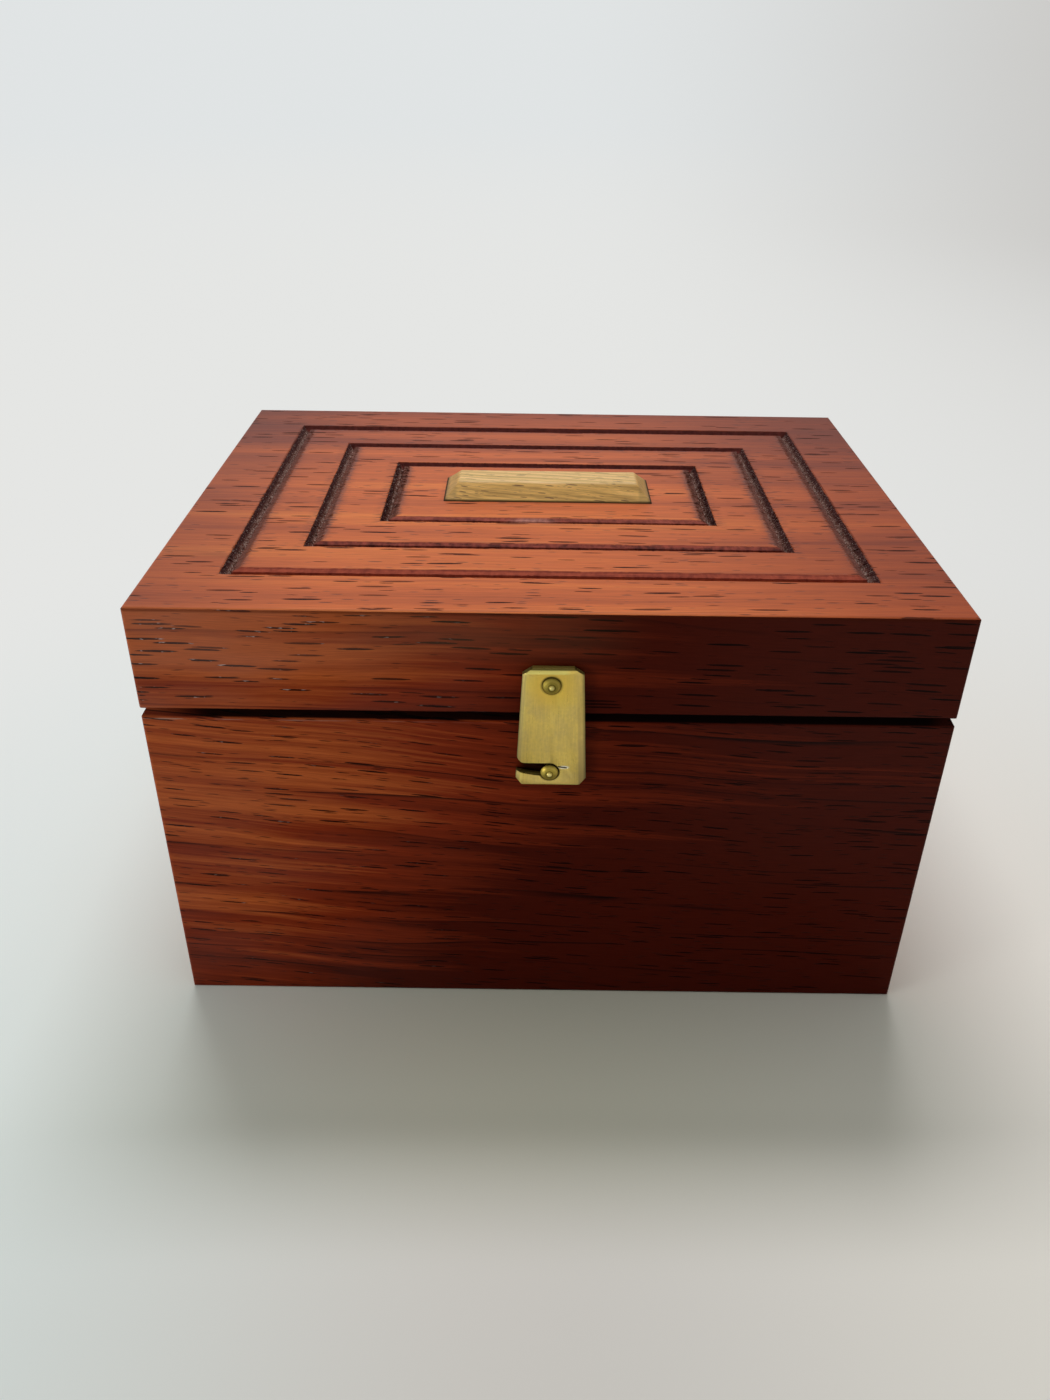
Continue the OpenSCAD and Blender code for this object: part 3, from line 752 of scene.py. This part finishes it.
def grooveMarks(tree, given):
    v = topBoard
    place, colour = given["Vector"], given["Color"]
    axes = split(tree, place)
    inMm = asMm(tree, place)
    # the board is darker towards its ends and its back
    for axis, start, end, dim in v["dims"]:
        colour = blendColour(tree, faded(tree, axes[axis], start, end), colour, dim, "MULTIPLY")
    # how far across its groove a place is, more towards the edge of the board
    halfLength, halfDepth = v["outerRing"]
    acrossX = calc(tree, "ABSOLUTE", axes[0])
    acrossY = offFrom(tree, axes[1], v["grooveShift"] * mm)
    ends = minus(tree, minus(tree, acrossX, v["mitre"]), acrossY)
    ends = ranged(tree, ends, -v["margin"], v["margin"])
    ring = calc(tree, "MAXIMUM", minus(tree, acrossX, halfLength), minus(tree, acrossY, halfDepth))
    centred = wrapped(tree, plus(tree, ring, 0.0017), v["groovePitch"] * mm)
    # end grain: a dark outer wall, partly painted shade, pale torn fibres half way down it, and a soft
    # stained inner wall
    torn = noise(tree, stretch(tree, inMm, (2.2, 2.2, 2.2)), 1.0, 3.0, 0.75).outputs[0]
    frayed = plus(tree, centred, ranged(tree, torn, 0.25, 0.75, -0.0005, 0.0005))
    stain = faded(tree, frayed, -0.0030, -0.0013, 0.0, 0.93)
    endColour = blendColour(tree, ranged(tree, torn, 0.35, 0.65), *v["endGrain"])
    endColour = blendColour(tree, stain, colour, endColour)
    halfWay = offFrom(tree, centred, 0.00060)
    specks = times(tree, ranged(tree, torn, 0.50, 0.62),
                   ranged(tree, halfWay, 0.00020, 0.00055, 0.9, 0.0))
    endColour = blendColour(tree, specks, endColour, v["specks"])
    outer = ranged(tree, frayed, 0.0008, 0.0011, 0.0, 0.95)
    endColour = blendColour(tree, outer, endColour, v["outerWallShade"])
    # painted glints on the torn fibres
    sparkle = noise(tree, stretch(tree, inMm, (3.6, 3.6, 3.6)), 1.0, 1.0).outputs[0]
    sparkle = times(tree, ranged(tree, sparkle, 0.64, 0.70), ranged(tree, centred, -0.0012, -0.0004))
    endColour = blendColour(tree, times(tree, sparkle, 0.7), endColour, v["sparkle"])
    # long grain: chatter across the cut, and a dark line along both its sides, painted shade at its
    # edges
    chatter = noise(tree, stretch(tree, inMm, (0.75, 0.5, 0.25)), 1.0, 3.0, 0.6).outputs[0]
    blotches = noise(tree, stretch(tree, inMm, (0.10, 0.8, 0.8)), 1.0, 3.0, 0.6).outputs[0]
    mottled = plus(tree, times(tree, chatter, 0.5), times(tree, blotches, 0.5))
    mottle = ranged(tree, mottled, 0.38, 0.60)
    side = {name: blendColour(tree, mottle, *colours) for name, colours in v["longGrain"].items()}
    longColour = blendColour(tree, ranged(tree, acrossY, 0.035, 0.037), side["middle"], side["outer"])
    innerShare = ranged(tree, acrossY, 0.0225, 0.024, 1.0, 0.0)
    longColour = blendColour(tree, innerShare, longColour, side["inner"])
    # the back arms are darker: painted shade
    longColour = blendColour(tree, ranged(tree, axes[1], 0.0, 0.01), longColour, side["rear"])
    lip = times(tree, ranged(tree, offFrom(tree, centred, -0.00015), 0.00115, 0.00135),
                ranged(tree, blotches, 0.40, 0.60, 0.1, 0.5))
    longColour = blendColour(tree, lip, longColour, v["lip"])
    # a painted pinkish reflection on the inner groove's front arm
    pinkReflection = roundMask(tree, stretch(tree, place, (0.6, 1, 1)), v["pinkReflectionPlace"], 0.0025, 0.0055, 1.0)
    pinkReflection = times(tree, pinkReflection, ranged(tree, mottled, 0.40, 0.56, 0.5, 1.0))
    longColour = blendColour(tree, pinkReflection, longColour, v["pinkReflection"])
    cut = blendColour(tree, ends, longColour, endColour)
    # dark splinters along the grain beside the end grain, and a soft edge to its stain
    beside = ranged(tree, calc(tree, "ABSOLUTE", centred), 0.0017, 0.0040, 1.0, 0.0)
    splinters = noise(tree, stretch(tree, inMm, (0.35, 3.2, 3.2)), 1.0, 2.0, 0.6).outputs[0]
    splinters = times(tree, ranged(tree, splinters, 0.50, 0.62), times(tree, beside, ends))
    within = times(tree, ranged(tree, ring, 0.0002, 0.0006, 1.0, 0.0),
                   ranged(tree, axes[2], 0.0935, 0.0945))
    splinters = times(tree, splinters, times(tree, within, 0.85))
    besideColour = blendColour(tree, splinters, colour, v["splinters"])
    soft = times(tree, times(tree, stain, ends), ranged(tree, centred, 0.0, 0.0004, 0.8, 0.0))
    besideColour = blendColour(tree, times(tree, soft, within), besideColour, v["stain"])
    innerEdge = ranged(tree, ring, -0.0065, -0.0060, -0.0015, -0.0020)
    ragged = plus(tree, centred, ranged(tree, blotches, 0.3, 0.7, -0.00018, 0.00018))
    inside = times(tree, ranged(tree, minus(tree, ragged, innerEdge), -0.00005, 0.00025),
                   ranged(tree, centred, 0.0016, 0.00175, 1.0, 0.0))
    inside = times(tree, inside, within)
    rough = blendValue(tree, inside, given["Roughness"], 0.8)
    return blendColour(tree, inside, besideColour, cut), rough


topShading = makeShading("topShading", topShade)
grooveCuts = makeMarks("grooveCuts", grooveMarks)
groovedTop = addTopBoard()
topWood = makeRedWood("topWood", "top", face=(0, 1, 0), seed=1.0, wave=0.3, streak=10.0, fine=0.36,
                      rings=0.12, pores=(13.0, 1.2, 0.8), shading=topShading, marks=grooveCuts,
                      gloss=0.14)
addPiece(groovedTop, topWood, "lid_top", "lid")
print("top board cut")


# Pull of pale wood, cut by hand

pull = {
    "low": (-0.0239, -0.0065, 0.0970),
    "high": (0.0239, 0.0093, 0.1005),
    "topShare": (40.5 / 47.8, 7.4 / 15.8),
    "edge": 0.0003,
    "waviness": 0.00016,
    "slopeShading": (1.12, 1.02, 0.76, 1),
    "palette": {"Pale": (0.86, 0.56, 0.24, 1), "Middle": (0.66, 0.42, 0.13, 1),
                "Dark": (0.34, 0.20, 0.045, 1), "Pore": (0.17, 0.09, 0.025, 1)},
    "ends": (0.36, 0.22, 0.06, 1),
    "corners": (0.10, 0.05, 0.015, 1),
    "foot": (0.022, 0.009, 0.003, 1),
}


def addPull():
    piece = addBlock("palePull", pull["low"], pull["high"])
    middle = [(a + b) / 2 for a, b in zip(pull["low"], pull["high"])]
    topMiddle = (*middle[:2], pull["high"][2])
    editMode()
    selectWhere(piece, "faces", lambda face: face.normal.z > 0.9)
    bpy.ops.transform.resize(value=(*pull["topShare"], 1), center_override=topMiddle)
    bpy.ops.mesh.select_mode(type="EDGE")
    selectWhere(piece, "edges", lambda edge: max(point.co.z for point in edge.verts) > 0.1)
    bpy.ops.mesh.bevel(offset=pull["edge"], segments=3, affect="EDGES")
    bpy.ops.mesh.select_all(action="SELECT")
    bpy.ops.mesh.subdivide(number_cuts=5)
    bpy.ops.object.mode_set(mode="OBJECT")
    cuts = bpy.data.textures.new("knifeCuts", "CLOUDS")
    cuts.noise_scale = 0.008
    wavy = piece.modifiers.new("wavy", "DISPLACE")
    wavy.texture = cuts
    wavy.strength = pull["waviness"]
    wavy.mid_level = 1.0
    bpy.ops.object.modifier_apply(modifier=wavy.name)
    finishPiece(piece, smooth=20)
    return piece


def makePaleWood():
    material, tree, shader = newMaterial("paleWood")
    place = objectPlace(tree)
    axes = split(tree, place)
    # painted light and shade: the top is given a lighter tone, and the slopes a darker, tinted one
    shade = ranged(tree, axes[2], 0.1000, 0.1003, 0.03, -0.07)
    wood = useGroup(tree, woodGrain, {
        "Vector": place, "Face": (0, 1, 0), "Shade": shade, "Slope": 0.16, "Wave": 0.8,
        "Streak Width": 1.2, "Rings": 0.4, "Ring Width": 1.5, "Pore Length": 6.0, "Pore Width": 0.6,
        "Pore Share": 0.55, "Seed": 3.3, **pull["palette"]})
    slopes = ranged(tree, axes[2], 0.1000, 0.1003, 1.0, 0.0)
    colour = blendColour(tree, slopes, wood["Color"], pull["slopeShading"], "MULTIPLY")
    endwards = calc(tree, "ABSOLUTE", axes[0])
    colour = blendColour(tree, ranged(tree, endwards, 0.0206, 0.0212, 0.0, 0.5), colour, pull["ends"])
    # painted shade at the lower corners of the ends
    corners = times(tree, ranged(tree, endwards, 0.0227, 0.0236),
                    ranged(tree, axes[2], 0.0974, 0.0992, 0.7, 0.0))
    colour = blendColour(tree, corners, colour, pull["corners"])
    # a painted shadow line along the foot, rough so that it shows no sheen
    foot = ranged(tree, axes[2], 0.0972, 0.0975, 0.95, 0.0)
    colour = blendColour(tree, foot, colour, pull["foot"])
    rough = ranged(tree, foot, 0.0, 0.9, 0.45, 1.0)
    setSurface(tree, shader, colour, rough, wood["Height"], 0.6, 0.00006)
    shader.inputs["Specular IOR Level"].default_value = 0.35
    return material


addPiece(addPull(), makePaleWood(), "lid_pull", "lid")
print("pull cut")


# Brass: worn, brushed one way, with a duller film on it in patches

def makeBrassGroup():
    group, given, result = newGroup("wornBrass", {
        "Vector": ("NodeSocketVector", None),
        "Bright": ("NodeSocketColor", (0.80, 0.60, 0.21, 1)),
        "Dull": ("NodeSocketColor", (0.58, 0.48, 0.19, 1)),
        "Brushing": ("NodeSocketVector", (1.0, 1.0, 0.05)),
        "Dullness": ("NodeSocketFloat", 0.5),
    }, {"Color": "NodeSocketColor", "Roughness": "NodeSocketFloat", "Height": "NodeSocketFloat"})
    tree = group
    inMm = asMm(tree, given["Vector"])
    patches = noise(tree, inMm, 0.22, 4.0, 0.65).outputs[0]
    spots = noise(tree, inMm, 1.6, 2.0).outputs[0]
    lines = noise(tree, stretch(tree, inMm, given["Brushing"]), 5.0, 2.0).outputs[0]
    film = ranged(tree, plus(tree, patches, minus(tree, given["Dullness"], 0.5)), 0.38, 0.62)
    colour = blendColour(tree, film, given["Bright"], given["Dull"])
    grains = plus(tree, times(tree, lines, 0.6), times(tree, spots, 0.4))
    grains = ranged(tree, grains, 0.3, 0.7, 0.86, 1.10)
    colour = blendColour(tree, 1.0, colour, joined(tree, grains, grains, grains), "MULTIPLY")
    rough = plus(tree, ranged(tree, film, 0.0, 1.0, 0.30, 0.46),
                 ranged(tree, lines, 0.3, 0.7, -0.05, 0.05))
    tree.links.new(colour, result["Color"])
    tree.links.new(rough, result["Roughness"])
    tree.links.new(lines, result["Height"])
    return group


wornBrass = makeBrassGroup()


def makeBrass(name, **values):
    material, tree, shader = newMaterial(name)
    brass = useGroup(tree, wornBrass, {"Vector": objectPlace(tree), **values})
    setSurface(tree, shader, brass["Color"], brass["Roughness"], brass["Height"], 0.5, 0.00003)
    shader.inputs["Metallic"].default_value = 1.0
    return material


# Nails, turned as rings round their own line: radius and height over the front, in mm

nail = {
    "line": (0.00045, -0.0625, 0.0625),
    "pivotRise": 0.020,
    "profile": ((0.36, -7.0), (0.9, -5.56), (0.9, 1.9), (1.75, 1.9), (1.84, 1.93), (1.84, 1.99),
                (1.77, 2.04), (1.66, 2.14), (1.43, 2.34), (1.15, 2.52), (0.87, 2.64), (0.66, 2.69),
                (0.56, 2.70), (0.50, 2.77), (0.43, 2.89), (0.32, 2.99), (0.15, 3.04)),
    "sides": 40,
    # the rings paint a highlight on the nub and shade round its foot and at the head's rim
    "rings": ((0.28, (0.98, 0.86, 0.34, 1)), (0.42, (0.66, 0.52, 0.13, 1)),
              (0.56, (0.20, 0.15, 0.025, 1)), (0.80, (0.42, 0.32, 0.060, 1)),
              (1.20, (0.52, 0.40, 0.085, 1)), (1.55, (0.36, 0.27, 0.05, 1)),
              (1.76, (0.06, 0.045, 0.012, 1))),
    "bright": (1.0, 1.0, 1.0, 1),
    "dull": (0.78, 0.80, 0.80, 1),
    "dullness": 0.16,
}


def addNail(name):
    x, y, z = nail["line"]
    deselectAll()
    (radius, out), *rings = nail["profile"]
    bpy.ops.mesh.primitive_circle_add(vertices=nail["sides"], radius=radius * mm, fill_type="NGON",
                                      location=(x, y - out * mm, z), rotation=(radians(90), 0, 0))
    piece = bpy.context.object
    piece.name = name
    bpy.ops.object.transform_apply(location=True, rotation=True, scale=True)
    editMode()
    bpy.ops.mesh.select_all(action="SELECT")
    for nextRadius, nextOut in rings:
        bpy.ops.mesh.extrude_region_move(TRANSFORM_OT_translate={"value": (0, (out - nextOut) * mm, 0)})
        share = nextRadius / radius
        bpy.ops.transform.resize(value=(share, 1, share), center_override=(x, y - nextOut * mm, z))
        radius, out = nextRadius, nextOut
    bpy.ops.mesh.select_all(action="SELECT")
    bpy.ops.mesh.normals_make_consistent(inside=False)
    bpy.ops.object.mode_set(mode="OBJECT")
    finishPiece(piece, smooth=50)
    return piece


def copyPiece(piece, name, move):
    selectOnly(piece)
    bpy.ops.object.duplicate(linked=False)
    bpy.ops.transform.translate(value=move)
    bpy.ops.object.transform_apply(location=True, rotation=False, scale=False)
    bpy.context.object.name = name
    return bpy.context.object


def makeNailBrass():
    material, tree, shader = newMaterial("nailBrass")
    place = objectPlace(tree)
    brass = useGroup(tree, wornBrass, {"Vector": place, "Bright": nail["bright"], "Dull": nail["dull"]})
    # both nails read the same rings, because they stand one rise apart
    x, y, z = nail["line"]
    fromLine = vecCalc(tree, "SUBTRACT", place, (x, 0, z))
    axes = split(tree, fromLine)
    flat = joined(tree, axes[0], 0.0, wrapped(tree, axes[2], nail["pivotRise"]))
    radius = addNode(tree, "ShaderNodeVectorMath", {0: flat}, operation="LENGTH").outputs["Value"]
    # painted highlight on the nub, painted shade round it and at the rim
    (start, colour), *rings = nail["rings"]
    for nextStart, nextColour in rings:
        step = faded(tree, radius, (nextStart - 0.08) * mm, (nextStart + 0.08) * mm)
        colour = blendColour(tree, step, colour, nextColour)
    colour = blendColour(tree, 1.0, colour, brass["Color"], "MULTIPLY")
    rough = plus(tree, brass["Roughness"], nail["dullness"])
    setSurface(tree, shader, colour, rough, brass["Height"], 0.5, 0.00002)
    shader.inputs["Metallic"].default_value = 1.0
    return material


nailBrass = makeNailBrass()
catchPin = addNail("catchPin")
pivotPin = copyPiece(catchPin, "pivotPin", (0, 0, nail["pivotRise"]))
addPiece(pivotPin, nailBrass, "pivot_nail", "lid")
addPiece(catchPin, nailBrass, "catch_nail", "base")
print("nails turned")


# The latch plate and the hinge parts keep their outlines and get their edges eased

def easedCopy(name, node, edge):
    piece = bpy.data.objects.new(name, nodes[node].data.copy())
    bpy.context.collection.objects.link(piece)
    selectOnly(piece)
    editMode("VERT")
    bpy.ops.mesh.select_all(action="SELECT")
    bpy.ops.mesh.remove_doubles(threshold=0.000002)
    bpy.ops.mesh.dissolve_limited(angle_limit=radians(0.5))
    bpy.ops.object.mode_set(mode="OBJECT")
    finishPiece(piece, bevel=edge)
    return piece


plate = {
    "pivot": (0.00045, -0.0643, 0.0825),
    "catch": (0.00045, -0.0643, 0.0625),
    "bright": (0.86, 0.645, 0.165, 1),
    "dull": (0.77, 0.585, 0.19, 1),
    "gold": (0.92, 0.62, 0.09, 1),
    "filed": (0.46, 0.34, 0.14, 1),
    "topBevelHighlight": (0.80, 0.72, 0.22, 1),
    "topEdgeDarkReflection": (0.15, 0.115, 0.02, 1),
    "litUpward": (0.36, 0.27, 0.065, 1),
    "shadeAndDirt": (0.10, 0.075, 0.02, 1),
    "nick": (1.0, 0.97, 0.80, 1),
    "nickPlace": (0.00115, -0.0643, 0.0637),
    "middle": 0.00075,
    "halfWidths": (0.0074, 0.00615),  # at these two heights
    "heights": (0.0595, 0.086),
}


def makePlateBrass():
    material, tree, shader = newMaterial("plateBrass")
    place = objectPlace(tree)
    axes = split(tree, place)
    brass = useGroup(tree, wornBrass, {
        "Vector": place, "Bright": plate["bright"], "Dull": plate["dull"]})
    golden = roundMask(tree, place, plate["pivot"], 0.002, 0.007, 0.7)
    colour = blendColour(tree, golden, brass["Color"], plate["gold"])
    # the filed bevels at the right and left are duller
    rightX = [plate["middle"] + width for width in plate["halfWidths"]]
    rightEdge = ranged(tree, axes[2], *plate["heights"], *rightX)
    right = ranged(tree, minus(tree, rightEdge, axes[0]), 0.0016, 0.0019, 1.0, 0.0)
    lower = ranged(tree, axes[2], 0.060, 0.084, 0.9, 0.15)
    colour = blendColour(tree, times(tree, right, lower), colour, plate["filed"])
    leftX = [plate["middle"] - width for width in plate["halfWidths"]]
    leftEdge = ranged(tree, axes[2], *plate["heights"], *leftX)
    left = ranged(tree, minus(tree, axes[0], leftEdge), 0.0009, 0.0012, 0.6, 0.0)
    colour = blendColour(tree, left, colour, plate["filed"])
    # a dark ring round each nail head: painted shade
    for centre in ("pivot", "catch"):
        ringShade = roundMask(tree, place, plate[centre], 0.0017, 0.0024, 0.8)
        colour = blendColour(tree, ringShade, colour, plate["shadeAndDirt"])
    # a painted highlight on the top bevel, and a painted dark reflection on the top edge above it
    topEdge = ranged(tree, axes[2], 0.08485, 0.0850, 0.0, 0.9)
    topEdge = times(tree, topEdge, faded(tree, axes[0], 0.0028, 0.0046, 1.0, 0.1))
    colour = blendColour(tree, topEdge, colour, plate["topBevelHighlight"])
    topmost = ranged(tree, axes[2], 0.08555, 0.08575, 0.0, 0.9)
    colour = blendColour(tree, topmost, colour, plate["topEdgeDarkReflection"])
    # a painted glint at the nick
    nick = roundMask(tree, stretch(tree, place, (0.35, 1, 1)), plate["nickPlace"], 0.0002, 0.0005, 1.0)
    colour = blendColour(tree, nick, colour, plate["nick"])
    # its sides are dark, partly painted shade and partly a less metallic oxide, but for the top edge
    # and the slot's lower lip, which face up and are painted lighter
    sides = ranged(tree, axes[1], -0.06395, -0.06375)
    slotFloor = times(tree, ranged(tree, axes[2], 0.0619, 0.0622, 1.0, 0.0),
                      ranged(tree, axes[2], 0.0598, 0.0601))
    slotFloor = times(tree, slotFloor, ranged(tree, axes[0], -0.0006, 0.0002, 1.0, 0.0))
    litUpward = calc(tree, "MAXIMUM", slotFloor, ranged(tree, axes[2], 0.0859, 0.0860))
    sideColour = blendColour(tree, litUpward, plate["shadeAndDirt"], plate["litUpward"])
    colour = blendColour(tree, times(tree, sides, 0.85), colour, sideColour)
    setSurface(tree, shader, colour, brass["Roughness"], brass["Height"], 0.5, 0.00003)
    tree.links.new(minus(tree, 1.0, times(tree, sides, 0.8)), shader.inputs["Metallic"])
    return material


plateBrass = makePlateBrass()
hingeBrass = makeBrass("hingeBrass", Brushing=(0.06, 1.0, 1.0), Dullness=0.45)
eased = {
    "latch_plate": ("swingPlate", "latch", plateBrass, 0.00012),
    "left_hinge_base_leaf": ("leftBaseLeaf", "base", hingeBrass, 0.00008),
    "right_hinge_base_leaf": ("rightBaseLeaf", "base", hingeBrass, 0.00008),
    "left_hinge_lid_leaf": ("leftLidLeaf", "lid", hingeBrass, 0.00008),
    "right_hinge_lid_leaf": ("rightLidLeaf", "lid", hingeBrass, 0.00008),
    "left_hinge_pin": ("leftHingePin", "base", hingeBrass, 0.00005),
    "right_hinge_pin": ("rightHingePin", "base", hingeBrass, 0.00005),
    "base_hinge_screws": ("baseScrews", "base", hingeBrass, 0.00004),
    "lid_hinge_screws": ("lidScrews", "lid", hingeBrass, 0.00004),
}
for nodeName, (pieceName, body, material, edge) in eased.items():
    addPiece(easedCopy(pieceName, nodeName, edge), material, nodeName, body)
print("brass eased")
